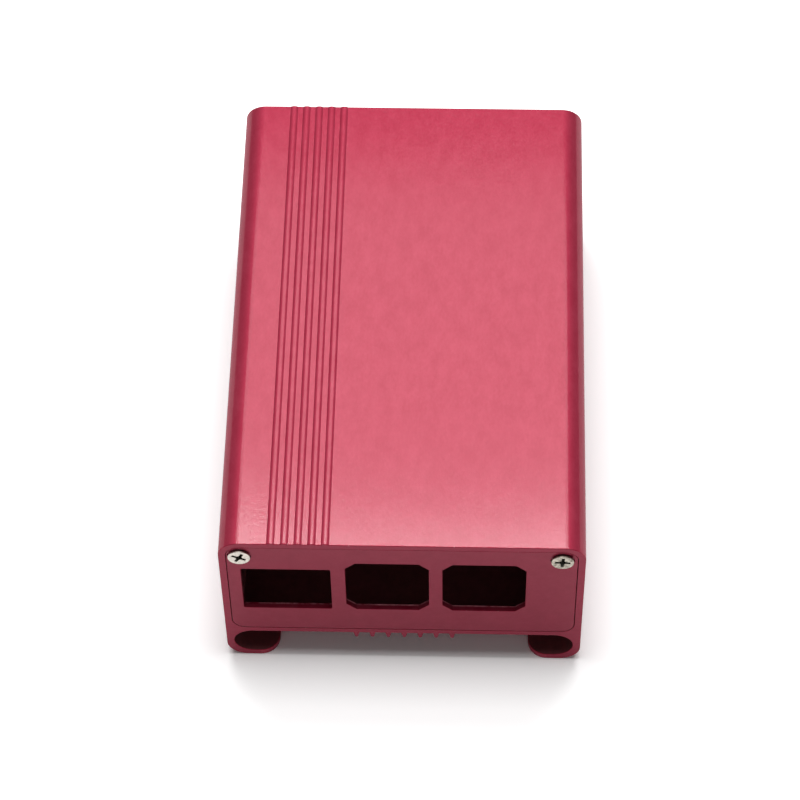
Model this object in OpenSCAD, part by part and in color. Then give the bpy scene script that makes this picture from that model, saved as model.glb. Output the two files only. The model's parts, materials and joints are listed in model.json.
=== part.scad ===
// Single-board computer case: an extruded aluminium sleeve with C-shaped feet, closed by two inset plates
// Millimetres, +Z up, port face toward -Y, origin under the middle of the feet

/* [Sleeve] */
// Outside width across the sleeve
body_w = 67.5; // [64:0.5:90]
// Length of the sleeve from cut end to cut end
body_l = 103.3; // [96:0.1:180]
// Height from the underside of the feet to the flat top
body_h = 40; // [38.5:0.5:60]
// Rounding of the four long outer corners
corner_r = 4.1; // [3.9:0.1:5]
// Thickness of the top, the sides and the floor
wall_t = 1.35; // [1.1:0.05:1.5]

/* [Feet] */
// Height of the floor's underside above the table
floor_z = 8.7; // [7.5:0.1:8.8]
// Thickness of the lip that each foot rests on
lip_t = 1.4; // [1:0.1:2]
// Distance that each lip reaches in from the side
foot_w = 9.9; // [9:0.1:14]
// Rounding of each lip's corners at the two ends, seen from above
lip_corner_r = 3.6; // [1:0.1:5]
// Thickness of the foot's outer wall at its thinnest
foot_side_t = 1.45; // [1.1:0.05:2]

/* [Floor fins] */
// Number of short cooling fins under the floor
fin_count = 7; // [3:1:11]
// Distance from fin to fin
fin_pitch = 3.03; // [2.2:0.01:3.8]
// Distance of the row of fins to the right of the floor's middle
fin_shift = 0.2; // [-2:0.1:2]
// Height of a fin
fin_h = 1.6; // [1:0.1:3]
// Width of a fin where it leaves the floor
fin_root_w = 1.2; // [0.8:0.05:1.6]
// Width of the rounded fin tip
fin_tip_w = 0.7; // [0.4:0.05:0.8]

/* [Top ribs] */
// Number of low round ribs along the top
rib_count = 5; // [1:1:8]
// Distance from rib to rib
rib_pitch = 2.5; // [2:0.1:3]
// Distance from the left side to the middle of the row of ribs
rib_row_in = 14.8; // [13:0.1:24]
// Width of a rib where it meets the top
rib_w = 1.5; // [0.9:0.05:1.8]
// Height of a rib
rib_h = 0.22; // [0.1:0.02:0.4]

/* [Board and its guides] */
// Width of the board that slides into the guides
board_w = 56; // [54:0.5:57]
// Thickness of the board
board_t = 1.5; // [1:0.1:2]
// Gap between the board's left edge and the left wall
board_gap = 0.6; // [0.3:0.05:1.5]
// Height of the board's underside above the floor's upper face
guide_z = 6.15; // [5:0.05:6.4]
// Clearance of the board in the height of its slot
slot_gap = 0.2; // [0.1:0.05:0.6]
// Overlap of the slot's two ribs with the board's right edge
slot_grip = 1.1; // [0.5:0.1:2]
// Thickness of each guide rib
guide_t = 1.2; // [0.8:0.1:1.6]
// Reach of the single ledge in from the left wall
ledge_reach = 2.4; // [1:0.1:3]

/* [Screw bosses] */
// Sideways shift of the screw axes from the middles of the upper corners, less than 0 for left
screw_shift = -0.2; // [-0.3:0.05:0.3]
// Diameter of the bore along each boss
boss_bore_d = 2.6; // [2.4:0.1:3]
// Width of the slot that opens the bore to the inside
boss_slot_w = 0.9; // [0.5:0.1:1.4]

/* [End plates] */
// Thickness of the two end plates
plate_t = 1.2; // [1:0.05:2]
// Gap between a plate's two sides and the sleeve
plate_gap = 0.15; // [0.1:0.05:0.35]
// Gap under a plate's lower edge
plate_low_gap = 0.15; // [0.05:0.05:0.3]
// Gap over a plate's upper edge, which the screws hold close to the top
plate_top_gap = 0.04; // [0.02:0.01:0.1]
// Diameter of the hole under each screw head
plate_hole_d = 2.9; // [2.7:0.05:3.1]
// Diameter of the shallow spot face around the head
spot_d = 4.5; // [4.25:0.05:4.8]
// Depth of the spot face
spot_depth = 0.45; // [0.2:0.05:0.6]

/* [Port openings] */
// Distance of the openings' lower edges under the board's upper face
port_sill = 0.3; // [0:0.05:1]
// Distance from the board's left edge to the middle of the network opening
net_in = 10.25; // [9.5:0.05:11]
// Width of the network opening
net_w = 16.6; // [14:0.1:17]
// Height of the network opening
net_h = 13.9; // [11:0.1:14.5]
// Rounding of the network opening's corners
net_r = 0.4; // [0.1:0.1:1.5]
// Distance from the network opening to the first twin serial opening
net_to_usb = 18.75; // [18:0.05:19.5]
// Distance from one twin serial opening to the other
usb_pitch = 18; // [17.5:0.05:18.6]
// Width of a twin serial opening
usb_w = 15.5; // [13:0.1:16]
// Height of a twin serial opening
usb_h = 16.3; // [12:0.1:17]
// Size of the chamfer across each corner of a twin serial opening
usb_chamfer = 1.9; // [0.5:0.1:3]

/* [Side openings] */
// Distance of the audio hole from the port end
audio_y = 34.5; // [30:0.5:38]
// Diameter of the audio hole
audio_d = 7.6; // [6:0.1:8]
// Height of the audio hole's middle above the board's upper face
audio_rise = 3.1; // [2.8:0.1:4]
// Distance of the video opening from the port end
video_y = 56; // [52:0.5:60]
// Width of the video opening
video_w = 16.6; // [14:0.1:20]
// Height of the video opening
video_h = 7.5; // [5:0.1:8]
// Height of the video opening's middle above the board's upper face
video_rise = 3.4; // [2.8:0.1:4]
// Distance of the power opening from the port end
power_y = 77.4; // [74:0.2:82]
// Width of the power opening
power_w = 11; // [8:0.1:14]
// Height of the power opening
power_h = 5.6; // [4:0.1:6]
// Height of the power opening's middle above the board's upper face
power_rise = 1.7; // [1.6:0.1:3]
// Rounding of the video and power openings' corners
side_r = 1; // [0.3:0.1:1.8]

/* [Plate screws] */
// Diameter of the flat screw head
head_d = 4.15; // [3.9:0.05:4.2]
// Height of the straight rim around the head
head_rim = 0.35; // [0.15:0.05:0.5]
// Clearance of the head's cone on the edge of its hole
seat_gap = 0.01; // [0:0.01:0.05]
// Clearance of the thread in the boss bore, on the radius
thread_gap = 0.05; // [0.02:0.01:0.15]
// Reach of the screw behind the plate's outer face
screw_l = 8; // [5:0.5:16]
// Size of the chamfer around the screw's tip
tip_chamfer = 0.5; // [0.2:0.1:0.8]
// Span of the cross recess at the head's face
cross_span = 2.9; // [2:0.1:3.4]
// Span of the cross recess at its bottom
cross_root = 1.3; // [0.6:0.1:1.8]
// Width of each arm of the cross
cross_w = 0.56; // [0.4:0.02:0.9]
// Depth of the cross recess
cross_depth = 1.4; // [0.7:0.1:1.6]
// Diameter of the recess's tapered core at the head's face
core_d = 1.2; // [0.8:0.05:1.5]
// Diameter of the core at its bottom
core_root_d = 0.7; // [0.3:0.05:0.8]
// Turn of the port end's left screw, right screw, then the plain end's left and right screws
cross_turns = [28, 4, 61, 15]; // [0:1:90]

/* [Hidden] */
$fn = 96;
over = 1;
half_w = body_w / 2;
half_l = body_l / 2;
inner_x = half_w - wall_t;
inner_z0 = floor_z + wall_t;
inner_z1 = body_h - wall_t;
inner_r = corner_r - wall_t;
mid_wall = wall_t / 2;
boss_x = half_w - corner_r;
boss_z = body_h - corner_r;
channel_r = (floor_z - lip_t) / 2;
channel_x = half_w - foot_side_t - channel_r;
lip_tip_x = half_w - foot_w;
rib_r = (rib_w * rib_w / 4 + rib_h * rib_h) / (2 * rib_h);
board_x0 = -inner_x + board_gap;
board_x1 = board_x0 + board_w;
board_z0 = inner_z0 + guide_z;
board_z1 = board_z0 + board_t;
port_z = board_z1 - port_sill;
net_x = board_x0 + net_in;
usb_x1 = net_x + net_to_usb;
usb_x2 = usb_x1 + usb_pitch;
thread_d = boss_bore_d - 2 * thread_gap;
head_proud = (head_d - plate_hole_d) / 2 + head_rim - spot_depth + seat_gap;
head_cone_y = head_rim - head_proud;
cone_end_y = head_cone_y + (head_d - thread_d) / 2;

// Sideways place of the screw axis on side s, -1 for left and 1 for right
function screw_x(s) = s * boss_x + screw_shift;

// Rectangle between two corners with all four corners rounded
module round_rect(x0, z0, x1, z1, r) {
    translate([x0 + r, z0]) square([x1 - x0 - 2 * r, z1 - z0]);
    translate([x0, z0 + r]) square([x1 - x0, z1 - z0 - 2 * r]);
    for (x = [x0 + r, x1 - r])
        for (z = [z0 + r, z1 - r])
            translate([x, z]) circle(r);
}

// Rounded rectangle of a given size around the origin
module window(w, h, r) {
    round_rect(-w / 2, -h / 2, w / 2, h / 2, r);
}

// Stands an outline drawn in X and Z up and runs it along Y from y0 to y1
module along_y(y0, y1) {
    translate([0, y1, 0]) rotate([90, 0, 0]) linear_extrude(height = y1 - y0) children();
}

// Draws an outline of the right side on both sides
module both_sides() {
    children();
    mirror([1, 0]) children();
}

// Clear inside of the sleeve's ends, where the plates sit
module inside_outline() {
    round_rect(-inner_x, inner_z0, inner_x, inner_z1, inner_r);
}

// Outline halfway through the walls, which the inner features root in
module mid_wall_outline() {
    round_rect(-half_w + mid_wall, floor_z + mid_wall, half_w - mid_wall, body_h - mid_wall,
        corner_r - mid_wall);
}

// Round-ended channel inside one foot, open toward the middle
module foot_channel() {
    translate([channel_x, lip_t + channel_r]) circle(channel_r);
    translate([0, lip_t]) square([channel_x, floor_z - lip_t]);
}

// Half of the space between the two feet
module foot_space() {
    translate([0, -over]) square([lip_tip_x, floor_z + over]);
}

// One tapered fin under the floor with a round tip, rooted in the floor
module fin() {
    root = fin_root_w / 2;
    tip = fin_tip_w / 2;
    polygon([[-root, mid_wall], [root, mid_wall], [root, 0],
        [tip, tip - fin_h], [-tip, tip - fin_h], [-root, 0]]);
    translate([0, tip - fin_h]) circle(tip);
}

// Low round rib, rooted in the top
module rib() {
    intersection() {
        translate([0, rib_h - rib_r]) circle(rib_r);
        translate([-rib_w, -mid_wall]) square([2 * rib_w, wall_t]);
    }
}

// Closed outside wall of the sleeve with its feet, fins and ribs
module shell_outline() {
    difference() {
        round_rect(-half_w, 0, half_w, body_h, corner_r);
        both_sides() foot_channel();
        both_sides() foot_space();
        inside_outline();
    }
    for (i = [0 : fin_count - 1])
        translate([fin_shift + (i - (fin_count - 1) / 2) * fin_pitch, floor_z]) fin();
    for (i = [0 : rib_count - 1])
        translate([rib_row_in - half_w + (i - (rib_count - 1) / 2) * rib_pitch, body_h]) rib();
}

// Corner block around one screw bore, rounded toward the inside
module boss_block() {
    translate([boss_x, boss_z - inner_r]) square([corner_r, corner_r + inner_r]);
    translate([boss_x - inner_r, boss_z]) square([corner_r + inner_r, corner_r]);
    translate([boss_x, boss_z]) circle(inner_r);
}

// Bore of the screw on side s, -1 for left and 1 for right, and the slot that opens it to the inside
module boss_bore(s) {
    translate([screw_x(s), boss_z]) {
        circle(d = boss_bore_d);
        rotate(270 - s * 45) translate([0, -boss_slot_w / 2]) square([corner_r, boss_slot_w]);
    }
}

// One guide rib from the middle of a wall at x0 to x1, with its lower face at z
module guide(x0, x1, z) {
    translate([x0, z]) square([x1 - x0, guide_t]);
}

// Bosses and board guides, which stop short of the ends by a plate's thickness
module inner_outline() {
    difference() {
        both_sides() intersection() {
            boss_block();
            mid_wall_outline();
        }
        for (s = [-1, 1])
            boss_bore(s);
    }
    guide(-half_w + mid_wall, -inner_x + ledge_reach, board_z0 - guide_t);
    for (z = [board_z0 - guide_t, board_z1 + slot_gap])
        guide(board_x1 - slot_grip, half_w - mid_wall, z);
}

// Corners cut from the four ends of the lips, which leaves them round seen from above
module lip_corners() {
    for (x = [0, 1])
        for (y = [0, 1])
            mirror([x, 0, 0]) mirror([0, y, 0]) translate([lip_tip_x, half_l - lip_corner_r, -over])
                linear_extrude(height = lip_t + 2 * over) difference() {
                    translate([-over, 0]) square([lip_corner_r + over, lip_corner_r + over]);
                    translate([lip_corner_r, 0]) circle(lip_corner_r);
                }
}

// Openings through the left wall for the board's side sockets
module side_openings() {
    translate([-half_w - over, -half_l, board_z1]) rotate([90, 0, 90])
        linear_extrude(height = wall_t + 2 * over) {
            translate([audio_y, audio_rise]) circle(d = audio_d);
            translate([video_y, video_rise]) window(video_w, video_h, side_r);
            translate([power_y, power_rise]) window(power_w, power_h, side_r);
        }
}

// Extruded sleeve with its rounded lips and side openings
module sleeve() {
    color([0.72, 0.16, 0.24]) difference() {
        union() {
            along_y(-half_l, half_l) shell_outline();
            along_y(-half_l + plate_t, half_l - plate_t) inner_outline();
        }
        lip_corners();
        side_openings();
    }
}

// One circle around each of the two screw axes
module screw_circles(d) {
    for (s = [-1, 1])
        translate([screw_x(s), boss_z]) circle(d = d);
}

// Outline of an end plate, smaller by its gaps than the inside of the sleeve
module plate_outline() {
    difference() {
        round_rect(-inner_x + plate_gap, inner_z0 + plate_low_gap,
            inner_x - plate_gap, inner_z1 - plate_top_gap, inner_r - plate_gap);
        screw_circles(plate_hole_d);
    }
}

// One twin serial opening with chamfered corners, standing on the origin
module usb_outline() {
    a = usb_w / 2;
    c = usb_chamfer;
    polygon([[-a + c, 0], [a - c, 0], [a, c], [a, usb_h - c],
        [a - c, usb_h], [-a + c, usb_h], [-a, usb_h - c], [-a, c]]);
}

// Plate at the port end with its three openings
module port_plate() {
    color([0.6, 0.14, 0.2]) difference() {
        along_y(-half_l, -half_l + plate_t) difference() {
            plate_outline();
            translate([net_x, port_z + net_h / 2]) window(net_w, net_h, net_r);
            for (x = [usb_x1, usb_x2])
                translate([x, port_z]) usb_outline();
        }
        along_y(-half_l - over, -half_l + spot_depth) screw_circles(spot_d);
    }
}

// Plain plate at the other end
module plain_plate() {
    color([0.6, 0.14, 0.2]) difference() {
        along_y(half_l - plate_t, half_l) plate_outline();
        along_y(half_l - spot_depth, half_l + over) screw_circles(spot_d);
    }
}

// Turned outline of a screw: flat head, cone, thread and chamfered tip, with the plate's outer face at zero
module screw_outline() {
    polygon([[0, -head_proud], [head_d / 2, -head_proud], [head_d / 2, head_cone_y],
        [thread_d / 2, cone_end_y], [thread_d / 2, screw_l - tip_chamfer],
        [thread_d / 2 - tip_chamfer, screw_l], [0, screw_l]]);
}

// One arm pair of the cross recess, narrower at its bottom
module cross_arm() {
    rotate([90, 0, 0]) linear_extrude(height = cross_w, center = true)
        polygon([[-cross_span / 2, 0], [-cross_root / 2, cross_depth], [cross_root / 2, cross_depth],
            [cross_span / 2, 0], [cross_span / 2, -over], [-cross_span / 2, -over]]);
}

// Cross recess with a tapered core, cut down from the head's face
module cross_recess() {
    cross_arm();
    rotate([0, 0, 90]) cross_arm();
    cylinder(h = cross_depth, d1 = core_d, d2 = core_root_d);
}

// Countersunk screw along +Z with its cross recess turned to an angle
module screw(turn) {
    difference() {
        rotate_extrude() screw_outline();
        translate([0, 0, -head_proud]) rotate([0, 0, turn]) cross_recess();
    }
}

// Screw of the port end on side s, -1 for left and 1 for right
module port_screw(s, turn) {
    color([0.82, 0.8, 0.76]) translate([screw_x(s), -half_l, boss_z]) rotate([-90, 0, 0]) screw(turn);
}

// Screw of the plain end on side s, -1 for left and 1 for right
module plain_screw(s, turn) {
    color([0.82, 0.8, 0.76]) translate([screw_x(s), half_l, boss_z]) rotate([90, 0, 0]) screw(turn);
}

sleeve();
port_plate();
plain_plate();
port_screw(-1, cross_turns[0]);  // port_screw_left
port_screw(1, cross_turns[1]);  // port_screw_right
plain_screw(-1, cross_turns[2]);  // plain_screw_left
plain_screw(1, cross_turns[3]);  // plain_screw_right
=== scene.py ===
"""Looks of the single-board computer case: a red anodised sleeve closed by two screwed end plates."""

import json
import math

import bmesh
import bpy
from mathutils import Matrix, Vector

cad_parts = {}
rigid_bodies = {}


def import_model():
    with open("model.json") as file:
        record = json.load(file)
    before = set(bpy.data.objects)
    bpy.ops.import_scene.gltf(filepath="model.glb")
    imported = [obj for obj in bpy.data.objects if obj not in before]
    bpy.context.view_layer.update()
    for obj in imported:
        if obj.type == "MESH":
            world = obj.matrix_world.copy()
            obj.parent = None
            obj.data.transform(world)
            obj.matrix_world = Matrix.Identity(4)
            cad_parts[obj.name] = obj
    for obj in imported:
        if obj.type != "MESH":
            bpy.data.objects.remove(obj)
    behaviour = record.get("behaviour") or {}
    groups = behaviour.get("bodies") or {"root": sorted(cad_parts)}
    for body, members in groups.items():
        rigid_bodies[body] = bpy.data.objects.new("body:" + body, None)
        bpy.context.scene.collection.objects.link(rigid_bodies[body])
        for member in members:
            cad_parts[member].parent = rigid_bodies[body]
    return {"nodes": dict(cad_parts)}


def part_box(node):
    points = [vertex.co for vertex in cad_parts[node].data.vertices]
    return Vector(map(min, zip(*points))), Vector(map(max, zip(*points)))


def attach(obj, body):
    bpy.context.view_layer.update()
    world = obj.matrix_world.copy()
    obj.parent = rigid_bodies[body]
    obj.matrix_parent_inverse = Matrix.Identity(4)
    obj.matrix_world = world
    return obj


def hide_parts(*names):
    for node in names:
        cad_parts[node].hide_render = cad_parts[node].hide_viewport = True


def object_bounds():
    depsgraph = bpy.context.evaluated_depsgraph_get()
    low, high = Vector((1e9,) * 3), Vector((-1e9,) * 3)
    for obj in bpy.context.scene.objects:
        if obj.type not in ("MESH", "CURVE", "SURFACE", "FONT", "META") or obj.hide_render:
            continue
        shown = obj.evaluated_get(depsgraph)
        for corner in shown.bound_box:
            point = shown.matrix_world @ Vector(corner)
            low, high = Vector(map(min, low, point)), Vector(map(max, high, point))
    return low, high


for leftover in list(bpy.data.objects):
    bpy.data.objects.remove(leftover)

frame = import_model()
CAD_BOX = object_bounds()
MM = 0.001
MICRON = 0.000001

# Camera of the photograph
CAMERA_TARGET = Vector((-1.838, -0.064, 11.79)) * MM
CAMERA_DISTANCE = 625.92 * MM
CAMERA_ELEVATION = math.radians(55.588)
CAMERA_AZIMUTH = math.radians(2.323)
CAMERA_ROLL = math.radians(-1.121)
CAMERA_LENS = 141.83
CAMERA_SENSOR = 36.0
CAMERA_CLIP = (0.01, 20.0)

# Sleeve, in millimetres: its outside, its cavity and the round channels in its feet
HALF_WIDTH, HALF_LENGTH, RIB_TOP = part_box("sleeve")[1] / MM
WALL = 1.35
RIB_HEIGHT = 0.22
CAVITY_HALF_WIDTH = HALF_WIDTH - WALL
CAVITY_FLOOR = 10.05
CAVITY_TOP = RIB_TOP - RIB_HEIGHT - WALL
CHANNEL_LOW, CHANNEL_TOP = 1.38, 8.72
CHANNEL_IN, CHANNEL_OUT = 23.8, 32.4

# Plates, in millimetres: their back, the field of the ports and the light line on the port walls, part bare
# metal, part painted highlight
PLATE_BACK = -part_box("port_plate")[1].y / MM
PORTS_REACH = 31.0
PORTS_LOW, PORTS_TOP = 17.0, 33.5
BARE_AND_HIGHLIGHT_LINE = 0.4

# Screws, in millimetres: their axes, which both ends share, their holes and their cross recess
SCREW_AXES = {side: sum(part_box(f"port_screw_{side}"), Vector()) / 2 / MM for side in ("left", "right")}
SCREW_HOLE_REACH = 2.3
HEAD_FACE = CAD_BOX[1].y / MM
RECESS_REACH = 1.46
RECESS_RIM, RECESS_DEPTH = 0.1, 1.45

# Edge rounds, in millimetres
SLEEVE_EDGE = 0.12
MOUTH_EDGE = 0.04
PLATE_EDGE = 0.05
SCREW_EDGE = 0.08
ROUND_SEGMENTS = 2
ROUND_PROFILE = 0.5

# Mesh work: tolerances in millimetres, angles between faces, and how squarely a face looks along Y
WELD = 0.0001
NEAR = 0.01
FLAT_ANGLE = math.radians(0.2)
CREASE_ANGLE = math.radians(18)
SHARP_ANGLE = math.radians(30)
FACING_END = 0.99
FACING_SIDE = 0.5
FLAT_FACE_WEIGHT = 100
BODY, EDGE, SPECIAL, INSIDE, CHANNEL = range(5)

# Dyed metal: its clear oxide, its colour at a glancing angle, its metallic share and its change of gloss
OXIDE_IOR = 1.77
EDGE_TINT = (0.22, 0.28, 0.33)
DYED_METAL = 0.34
GLOSS_CHANGE = 0.05

# Noises: features per metre, and the range that most of a noise keeps to
CLOUDS = 420.0
BREAKS = 600.0
SPOTS = 900.0
SPECKLES = 1500.0
FINE_SPECKLES = 2200.0
PLATING = 2600.0
NOISE_LOW, NOISE_HIGH = 0.3, 0.7

# Rubbed edges, port walls and plating: each range runs from the noise's low to its high
WORN_STOPS = (0.66, 0.8)
WORN_ROUGHNESS = (0.45, 0.35)
WORN_METAL = (0.3, 0.6)
WORN_RELIEF = 10 * MICRON
PORT_LINE_BREAKS = (-0.5, 1.3)
PORT_CLOUDS = (0.0, 0.06)
PORT_ROUGHNESS = (0.55, 0.4)
PORT_RELIEF = 20 * MICRON
PLATING_RELIEF = 6 * MICRON

# Table: white to the eye and in reflections, with a softer bounce onto the case
FLOOR_REACH = 6.0
FLOOR_WHITE = (1.0, 1.0, 1.0)
FLOOR_BOUNCE = (0.45, 0.45, 0.45)

# Painted light on the table: white glow outside the case's footprint, faster in front and behind than beside
# it
FOOTPRINT = Vector((HALF_WIDTH, HALF_LENGTH, 0)) * MM
GLOW_SPREAD = (0.1, 1, 0)
GLOW_REACH = 0.6
GLOW_RISE = 0.25

# Distance between nodes in the node editor
NODE_STEP = 200


def add_node(tree, kind, **values):
    """One shader node with its properties and unlinked inputs set; the nodes stand in one row."""
    node = tree.nodes.new(kind)
    node.location.x = NODE_STEP * len(tree.nodes)
    for key, value in values.items():
        if key in node.inputs:
            node.inputs[key].default_value = value
        else:
            setattr(node, key, value)
    return node


def empty_material(name):
    """Node material with only its output; returns the material, its tree and the output's surface."""
    material = bpy.data.materials.new(name)
    material.use_nodes = True
    tree = material.node_tree
    tree.nodes.clear()
    return material, tree, add_node(tree, "ShaderNodeOutputMaterial").inputs["Surface"]


def shaded_material(name, **values):
    """Node material with one principled shader; returns the material, its tree and the shader."""
    material, tree, surface = empty_material(name)
    shader = add_node(tree, "ShaderNodeBsdfPrincipled", **values)
    tree.links.new(shader.outputs["BSDF"], surface)
    return material, tree, shader


def grain(tree, scale, stretch=(1, 1, 1), detail=3.0, rough=0.6, seed=0.0):
    """Noise in the part's own coordinates; scale counts features per metre."""
    coords = add_node(tree, "ShaderNodeTexCoord")
    mapping = add_node(tree, "ShaderNodeMapping", Scale=stretch, Location=(seed, seed, seed))
    noise = add_node(tree, "ShaderNodeTexNoise", Scale=scale, Detail=detail, Roughness=rough)
    tree.links.new(coords.outputs["Object"], mapping.inputs["Vector"])
    tree.links.new(mapping.outputs["Vector"], noise.inputs["Vector"])
    return noise.outputs["Fac"]


def ramp(tree, factor, low, high, stops=(0.35, 0.65)):
    """Colour between two tones, following a noise."""
    node = add_node(tree, "ShaderNodeValToRGB")
    first, last = node.color_ramp.elements
    first.position, last.position = stops
    first.color, last.color = (*low, 1), (*high, 1)
    tree.links.new(factor, node.inputs["Fac"])
    return node.outputs["Color"]


def remap(tree, value, start, end, low=0.0, high=1.0):
    """Number that goes from low to high while a value goes from start to end."""
    limits = {"From Min": start, "From Max": end, "To Min": low, "To Max": high}
    node = add_node(tree, "ShaderNodeMapRange", **limits)
    tree.links.new(value, node.inputs["Value"])
    return node.outputs["Result"]


def spread(tree, noise, low, high):
    """Noise turned into a number from low to high."""
    return remap(tree, noise, NOISE_LOW, NOISE_HIGH, low, high)


def bump(tree, shader, factor, height, below=None):
    """Relief of a noise over an earlier relief, on the shader and its coat; height is in metres."""
    node = add_node(tree, "ShaderNodeBump", Distance=height)
    tree.links.new(factor, node.inputs["Height"])
    if below:
        tree.links.new(below, node.inputs["Normal"])
    tree.links.new(node.outputs["Normal"], shader.inputs["Normal"])
    if shader.inputs["Coat Weight"].default_value:
        tree.links.new(node.outputs["Normal"], shader.inputs["Coat Normal"])
    return node.outputs["Normal"]


def anodised(
    name, low, high, roughness, metal=DYED_METAL, specular=0.0, coat=0.3, coat_roughness=0.15,
    stretch=(1, 1, 1), waves=45 * MICRON, speckles=12 * MICRON, speckle_scale=SPECKLES,
):
    """Bead-blasted, dyed aluminium: cloudy colour, finely speckled gloss and relief, and a clear oxide."""
    finish = {
        "Metallic": metal,
        "Specular IOR Level": specular,
        "Specular Tint": (*EDGE_TINT, 1),
        "Coat Weight": coat,
        "Coat Roughness": coat_roughness,
        "Coat IOR": OXIDE_IOR,
    }
    material, tree, shader = shaded_material(name, **finish)
    cloud = grain(tree, CLOUDS, stretch, detail=5.0, rough=0.75, seed=1.0)
    speckle = grain(tree, speckle_scale, stretch, seed=4.0)
    gloss = spread(tree, speckle, roughness + GLOSS_CHANGE, roughness - GLOSS_CHANGE)
    tree.links.new(ramp(tree, cloud, low, high), shader.inputs["Base Color"])
    tree.links.new(gloss, shader.inputs["Roughness"])
    below = bump(tree, shader, cloud, waves)
    bump(tree, shader, speckle, speckles, below)
    return material


def worn_edge(name, dyed, bare):
    """Rubbed edge: the dyed skin, with small spots where the bare metal shows."""
    material, tree, shader = shaded_material(name, **{"Specular Tint": (*EDGE_TINT, 1)})
    spots = grain(tree, SPOTS, detail=4.0, seed=7.0)
    tree.links.new(ramp(tree, spots, dyed, bare, WORN_STOPS), shader.inputs["Base Color"])
    tree.links.new(spread(tree, spots, *WORN_ROUGHNESS), shader.inputs["Roughness"])
    tree.links.new(spread(tree, spots, *WORN_METAL), shader.inputs["Metallic"])
    bump(tree, shader, spots, WORN_RELIEF)
    return material


def inner_edge(tree):
    """1 at the inner edge of a plate's wall, falling to 0 across the light line."""
    coords = add_node(tree, "ShaderNodeTexCoord")
    axes = add_node(tree, "ShaderNodeSeparateXYZ")
    along = add_node(tree, "ShaderNodeMath", operation="ABSOLUTE")
    tree.links.new(coords.outputs["Object"], axes.inputs[0])
    tree.links.new(axes.outputs["Y"], along.inputs[0])
    return remap(tree, along.outputs[0], (PLATE_BACK + BARE_AND_HIGHLIGHT_LINE) * MM, PLATE_BACK * MM)


def port_wall(name, dyed, bare):
    """Port opening's cut wall: dyed metal darkened as painted shade; its inner edge a broken bare line with
    painted highlight.
    """
    finish = {"Metallic": DYED_METAL, "Specular IOR Level": 0.0}
    material, tree, shader = shaded_material(name, **finish)
    cloud = grain(tree, CLOUDS, seed=1.0)
    breaks = grain(tree, BREAKS, seed=9.0)
    worn = add_node(tree, "ShaderNodeMath", operation="MULTIPLY_ADD")
    tree.links.new(inner_edge(tree), worn.inputs[0])
    tree.links.new(spread(tree, breaks, *PORT_LINE_BREAKS), worn.inputs[1])
    tree.links.new(spread(tree, cloud, *PORT_CLOUDS), worn.inputs[2])
    tree.links.new(ramp(tree, worn.outputs[0], dyed, bare, (0.0, 1.0)), shader.inputs["Base Color"])
    tree.links.new(spread(tree, breaks, *PORT_ROUGHNESS), shader.inputs["Roughness"])
    bump(tree, shader, cloud, PORT_RELIEF)
    return material


def nickel(name, low, high, glossy, dull, scale=PLATING):
    """Plated screw metal with a soft, slightly uneven gloss."""
    material, tree, shader = shaded_material(name, Metallic=1.0)
    fine = grain(tree, scale, seed=5.0)
    tree.links.new(ramp(tree, fine, low, high), shader.inputs["Base Color"])
    tree.links.new(spread(tree, fine, dull, glossy), shader.inputs["Roughness"])
    bump(tree, shader, fine, PLATING_RELIEF)
    return material


def inside(point):
    """True for a point within the outline of the sleeve's cavity."""
    return abs(point.x) < CAVITY_HALF_WIDTH + NEAR and CAVITY_FLOOR - NEAR < point.z < CAVITY_TOP + NEAR


def in_cavity(edge):
    """True for an edge inside the sleeve, clear of its two cut ends."""
    return all(inside(v.co) and abs(v.co.y) < PLATE_BACK + NEAR for v in edge.verts)


def on_mouth(edge):
    """True for an edge of the cavity's outline on a cut end."""
    return all(inside(v.co) and abs(v.co.y) > HALF_LENGTH - NEAR for v in edge.verts)


def outer(edge):
    """True for an edge of the sleeve that hands can reach."""
    return not in_cavity(edge) and not on_mouth(edge)


def clear_of_screws(edge):
    """True for an edge of a plate, apart from those of its two screw holes."""
    return not any(
        all(math.hypot(v.co.x - axis.x, v.co.z - axis.z) < SCREW_HOLE_REACH for v in edge.verts)
        for axis in SCREW_AXES.values()
    )


def at_one_depth(edge):
    """True for an edge of a screw that runs around it at one depth."""
    first, last = edge.verts
    return abs(first.co.y - last.co.y) < NEAR


def rounded_mesh(source, name, rounds):
    """Copy of a mesh with merged flats; each round is a size and a test for the sharp edges that get it."""
    work = bmesh.new()
    work.from_mesh(source)
    work.transform(Matrix.Scale(1 / MM, 4))
    bmesh.ops.remove_doubles(work, verts=work.verts, dist=WELD)
    bmesh.ops.dissolve_limit(work, angle_limit=FLAT_ANGLE, verts=work.verts, edges=work.edges)
    for face in work.faces:
        face.material_index = BODY
    sharp = [e for e in work.edges if e.is_convex and e.calc_face_angle() > SHARP_ANGLE]
    for size, test in rounds:
        bmesh.ops.bevel(
            work, geom=[e for e in sharp if e.is_valid and test(e)], affect="EDGES", offset=size,
            offset_type="OFFSET", segments=ROUND_SEGMENTS, profile=ROUND_PROFILE, clamp_overlap=False,
            loop_slide=False, material=EDGE,
        )
    for face in work.faces:
        face.smooth = True
    for edge in work.edges:
        edge.smooth = edge.is_convex or edge.calc_face_angle() < CREASE_ANGLE
    work.transform(Matrix.Scale(MM, 4))
    mesh = bpy.data.meshes.new(name)
    work.to_mesh(mesh)
    work.free()
    # Stored normals would belong to the mesh as it was before its edges were rounded
    if "custom_normal" in mesh.attributes:
        mesh.attributes.remove(mesh.attributes["custom_normal"])
    return mesh


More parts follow.
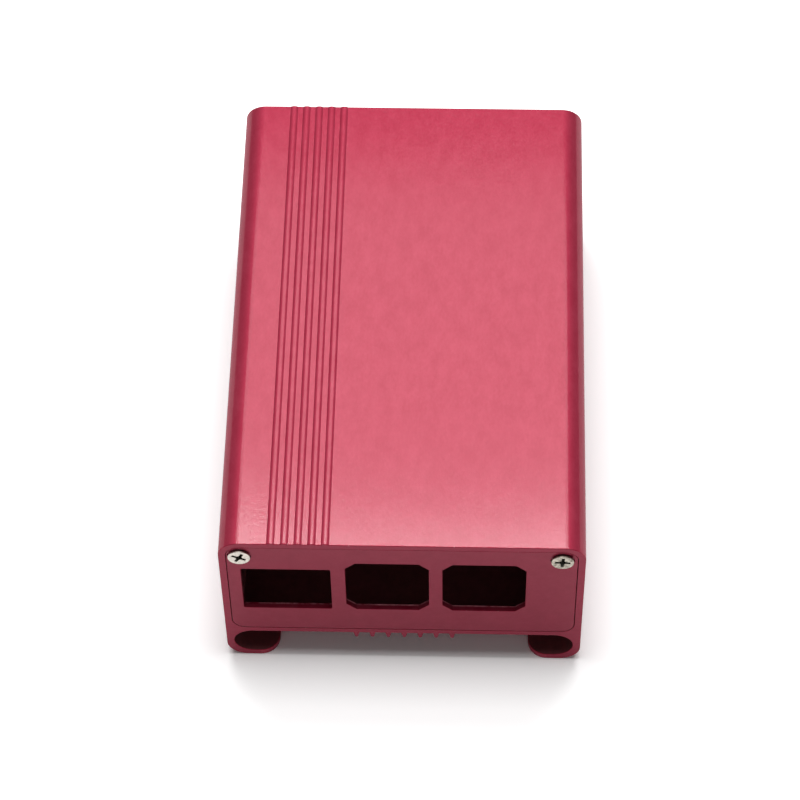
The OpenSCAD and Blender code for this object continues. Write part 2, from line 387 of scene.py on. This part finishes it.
def rounded_copy(node, name, *rounds):
    """Piece with rounded edges that stands for a CAD node."""
    piece = bpy.data.objects.new(name, rounded_mesh(frame["nodes"][node].data, name, rounds))
    bpy.context.scene.collection.objects.link(piece)
    normals = piece.modifiers.new("flat_faces_lead", "WEIGHTED_NORMAL")
    normals.mode = "FACE_AREA"
    normals.weight = FLAT_FACE_WEIGHT
    normals.keep_sharp = True
    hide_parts(node)
    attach(piece, "root")
    return piece


def paint(piece, slot, *materials):
    """Gives a piece its materials, in the order of the marks on its faces; its slot is not used."""
    indices = [face.material_index for face in piece.data.polygons]
    piece.data.materials.clear()
    for material in materials:
        piece.data.materials.append(material)
    piece.data.polygons.foreach_set("material_index", indices)


def mark_cut_ends(piece):
    """Marks the sleeve's two sawn ends as special faces."""
    for face in piece.data.polygons:
        if abs(face.normal.y) > FACING_END and abs(face.center.y) > (HALF_LENGTH - NEAR) * MM:
            face.material_index = SPECIAL


def side_faces(piece):
    """Unrounded faces of a piece that look sideways, up or down, each with its middle in millimetres."""
    for face in piece.data.polygons:
        if face.material_index == BODY and abs(face.normal.y) < FACING_SIDE:
            yield face, face.center / MM


def mark_hidden_walls(piece):
    """Marks the sleeve's inside and the walls of its foot channels, which get painted shade: darker colours.
    """
    for face, place in side_faces(piece):
        if inside(place):
            face.material_index = INSIDE
        elif CHANNEL_LOW < place.z < CHANNEL_TOP and CHANNEL_IN < abs(place.x) < CHANNEL_OUT:
            face.material_index = CHANNEL


def mark_port_walls(piece):
    """Marks the cut walls of a plate's port openings as special faces, which get painted shade."""
    for face, place in side_faces(piece):
        if abs(place.x) < PORTS_REACH and PORTS_LOW < place.z < PORTS_TOP:
            face.material_index = SPECIAL


def mark_recess(piece, axis):
    """Marks the walls of a screw's cross recess as special faces, which get painted shade."""
    for face in piece.data.polygons:
        place = face.center / MM
        depth = HEAD_FACE - abs(place.y)
        reach = math.hypot(place.x - axis.x, place.z - axis.z)
        if RECESS_RIM < depth < RECESS_DEPTH and reach < RECESS_REACH:
            face.material_index = SPECIAL


def make_sleeve():
    """Extruded sleeve with sawn ends, and painted shade on its inside and in its foot channels."""
    sleeve = rounded_copy("sleeve", "sleeve_extrusion", (SLEEVE_EDGE, outer), (MOUTH_EDGE, on_mouth))
    mark_cut_ends(sleeve)
    mark_hidden_walls(sleeve)
    paint(sleeve, "anodised_sleeve", SLEEVE_RED, EDGE_RED, END_RED, INSIDE_SHADE, CHANNEL_SHADE)


def make_plate(end):
    """Plate that closes one end of the sleeve; the port end's plate has the three openings."""
    plate = rounded_copy(f"{end}_plate", f"{end}_end_plate", (PLATE_EDGE, clear_of_screws))
    mark_port_walls(plate)
    paint(plate, "anodised_plate", PLATE_RED, EDGE_RED, PORT_SHADE_AND_HIGHLIGHT)


def make_screw(end, side):
    """Cross-recess screw; the right one of the port end gets a darker copy of the nickel, painted shade."""
    screw = rounded_copy(f"{end}_screw_{side}", f"{end}_cross_screw_{side}", (SCREW_EDGE, at_one_depth))
    mark_recess(screw, SCREW_AXES[side])
    # The port end's right screw gets painted shade: a darker copy of the nickel
    head = SHADED_NICKEL if (end, side) == ("port", "right") else NICKEL
    paint(screw, "nickel_screw", head, head, RECESS_SHADE)


def make_camera():
    """Camera at the photograph's angle."""
    data = bpy.data.cameras.new("camera")
    data.lens = CAMERA_LENS
    data.sensor_width = CAMERA_SENSOR
    data.clip_start, data.clip_end = CAMERA_CLIP
    flat = math.cos(CAMERA_ELEVATION)
    back = Vector((
        math.sin(CAMERA_AZIMUTH) * flat, -math.cos(CAMERA_AZIMUTH) * flat, math.sin(CAMERA_ELEVATION)
    ))
    right = Vector((0, 0, 1)).cross(back).normalized()
    axes = Matrix((right, back.cross(right), back)).transposed()
    turn = axes.to_4x4() @ Matrix.Rotation(CAMERA_ROLL, 4, "Z")
    camera = bpy.data.objects.new("camera", data)
    camera.matrix_world = Matrix.Translation(CAMERA_TARGET + back * CAMERA_DISTANCE) @ turn
    bpy.context.scene.collection.objects.link(camera)
    bpy.context.scene.camera = camera


def table_glow(tree):
    """Painted light: white glow that the eye sees on the table, none under the case, then rising with the
    distance from it.
    """
    place = add_node(tree, "ShaderNodeTexCoord").outputs["Object"]
    steps = (("ABSOLUTE", None), ("SUBTRACT", FOOTPRINT), ("MAXIMUM", (0, 0, 0)), ("MULTIPLY", GLOW_SPREAD))
    for step, operand in steps:
        node = add_node(tree, "ShaderNodeVectorMath", operation=step)
        tree.links.new(place, node.inputs[0])
        if operand:
            node.inputs[1].default_value = operand
        place = node.outputs["Vector"]
    distance = add_node(tree, "ShaderNodeVectorMath", operation="LENGTH")
    tree.links.new(place, distance.inputs[0])
    share = add_node(tree, "ShaderNodeMath", operation="DIVIDE", use_clamp=True)
    share.inputs[1].default_value = GLOW_REACH
    tree.links.new(distance.outputs["Value"], share.inputs[0])
    rise = add_node(tree, "ShaderNodeMath", operation="POWER")
    rise.inputs[1].default_value = GLOW_RISE
    tree.links.new(share.outputs[0], rise.inputs[0])
    glow = add_node(tree, "ShaderNodeEmission", Color=(*FLOOR_WHITE, 1))
    tree.links.new(rise.outputs[0], glow.inputs["Strength"])
    return glow.outputs["Emission"]


def seen_rays(tree):
    """1 for rays that show the table to the eye, directly or by reflection, and 0 for its bounced light."""
    path = add_node(tree, "ShaderNodeLightPath")
    seen = path.outputs["Is Camera Ray"]
    for ray in ("Is Glossy Ray", "Is Transmission Ray"):
        either = add_node(tree, "ShaderNodeMath", operation="MAXIMUM")
        tree.links.new(seen, either.inputs[0])
        tree.links.new(path.outputs[ray], either.inputs[1])
        seen = either.outputs[0]
    return seen


def mix_shaders(tree, factor, first, second):
    """First shader where the factor is 0, second where it is 1."""
    mix = add_node(tree, "ShaderNodeMixShader")
    tree.links.new(factor, mix.inputs["Fac"])
    tree.links.new(first, mix.inputs[1])
    tree.links.new(second, mix.inputs[2])
    return mix.outputs["Shader"]


def white_table(name):
    """White table that keeps the case's shadow; it is clear from below, to show the underside."""
    material, tree, surface = empty_material(name)
    material.cycles.emission_sampling = "NONE"
    grey = add_node(tree, "ShaderNodeBsdfDiffuse", Color=(*FLOOR_BOUNCE, 1))
    white = add_node(tree, "ShaderNodeBsdfDiffuse", Color=(*FLOOR_WHITE, 1))
    bright = add_node(tree, "ShaderNodeAddShader")
    clear = add_node(tree, "ShaderNodeBsdfTransparent")
    below = add_node(tree, "ShaderNodeNewGeometry").outputs["Backfacing"]
    tree.links.new(white.outputs["BSDF"], bright.inputs[0])
    tree.links.new(table_glow(tree), bright.inputs[1])
    table = mix_shaders(tree, seen_rays(tree), grey.outputs["BSDF"], bright.outputs["Shader"])
    tree.links.new(mix_shaders(tree, below, table, clear.outputs["BSDF"]), surface)
    return material


def make_floor():
    """Flat table under the case."""
    mesh = bpy.data.meshes.new("floor")
    corners = [(x * FLOOR_REACH, y * FLOOR_REACH, 0) for x, y in ((-1, -1), (1, -1), (1, 1), (-1, 1))]
    mesh.from_pydata(corners, [], [(0, 1, 2, 3)])
    mesh.materials.append(white_table("white_table"))
    floor = bpy.data.objects.new("floor", mesh)
    bpy.context.scene.collection.objects.link(floor)


def make_light(name, azimuth, elevation, distance, size, power):
    """Soft box that faces the case; azimuth is from +Y toward +X, in degrees, and power is in watts."""
    data = bpy.data.lights.new(name, "AREA")
    data.shape = "RECTANGLE"
    data.size, data.size_y = size
    data.energy = power
    light = bpy.data.objects.new(name, data)
    a, e = math.radians(azimuth), math.radians(elevation)
    light.location = Vector((math.sin(a) * math.cos(e), math.cos(a) * math.cos(e), math.sin(e))) * distance
    light.rotation_euler = light.location.to_track_quat("Z", "Y").to_euler()
    bpy.context.scene.collection.objects.link(light)


def make_world(strength):
    """Even, neutral studio surroundings."""
    world = bpy.data.worlds.new("studio")
    world.use_nodes = True
    background = world.node_tree.nodes["Background"]
    background.inputs["Color"].default_value = (1, 1, 1, 1)
    background.inputs["Strength"].default_value = strength
    bpy.context.scene.world = world


SLEEVE_RED = anodised(
    "red_anodised", (0.36, 0.0205, 0.052), (0.4, 0.0318, 0.068), roughness=0.62, metal=0.65, specular=1.0,
    coat=0.2, coat_roughness=0.11, stretch=(1, 0.5, 1), waves=8 * MICRON, speckles=10 * MICRON,
    speckle_scale=FINE_SPECKLES,
)
END_RED = anodised(
    "red_cut_end", (0.325, 0.0258, 0.0575), (0.368, 0.0315, 0.067), roughness=0.45,
    coat=0.2, stretch=(0.4, 1, 4), waves=27 * MICRON,
)
PLATE_RED = anodised(
    "red_plate", (0.304, 0.0275, 0.0565), (0.342, 0.0335, 0.0655), roughness=0.45,
    coat=0.2, waves=18 * MICRON,
)
# Painted shade: darker colours for the sleeve's inside and for its foot channels
INSIDE_SHADE = anodised("red_inside_painted_shade", (0.22, 0.075, 0.078), (0.27, 0.09, 0.094), roughness=0.6, coat=0.1)
CHANNEL_SHADE = anodised("red_channel_painted_shade", (0.13, 0.04, 0.044), (0.17, 0.048, 0.052), roughness=0.6, coat=0.1)
# Painted shade on the port walls, and a light line on their inner edge: part bare metal, part painted
# highlight
PORT_SHADE_AND_HIGHLIGHT = port_wall("red_port_wall_shade_and_highlight", dyed=(0.19, 0.006, 0.022), bare=(0.8, 0.3, 0.36))
EDGE_RED = worn_edge("red_worn_edge", dyed=(0.3, 0.015, 0.04), bare=(0.62, 0.34, 0.36))
NICKEL = nickel("nickel", (0.43, 0.4, 0.36), (0.58, 0.54, 0.48), glossy=0.3, dull=0.42)
# Painted shade: a darker copy of the nickel for the port end's right screw
SHADED_NICKEL = nickel(
    "nickel_painted_shade", (0.17, 0.15, 0.12), (0.5, 0.46, 0.39), glossy=0.34, dull=0.5, scale=SPECKLES,
)
# Painted shade in the screws' cross recess: a dark copy of the nickel
RECESS_SHADE = nickel("recess_painted_shade", (0.05, 0.048, 0.038), (0.12, 0.115, 0.095), glossy=0.5, dull=0.65)

# The case
make_sleeve()
for end in ("port", "plain"):
    make_plate(end)
    for side in SCREW_AXES:
        make_screw(end, side)

# Camera, table and studio light
make_camera()
make_floor()
make_world(strength=0.15)
make_light("overhead_box", azimuth=180, elevation=90, distance=0.9, size=(0.6, 0.4), power=3.88)
make_light("rear_box", azimuth=0, elevation=63, distance=0.8, size=(0.6, 0.34), power=3.0)
make_light("rear_strip", azimuth=0, elevation=64.3, distance=0.78, size=(0.6, 0.04), power=1.4)
make_light("rear_card_left", azimuth=-17.8, elevation=62.3, distance=0.768, size=(0.066, 0.03), power=0.056)
make_light("rear_card_right", azimuth=12.9, elevation=62.8, distance=0.764, size=(0.084, 0.03), power=0.03)
make_light("front_fill", azimuth=180, elevation=18, distance=1.0, size=(0.8, 0.3), power=0.85)
bpy.context.scene.view_settings.view_transform = "Standard"
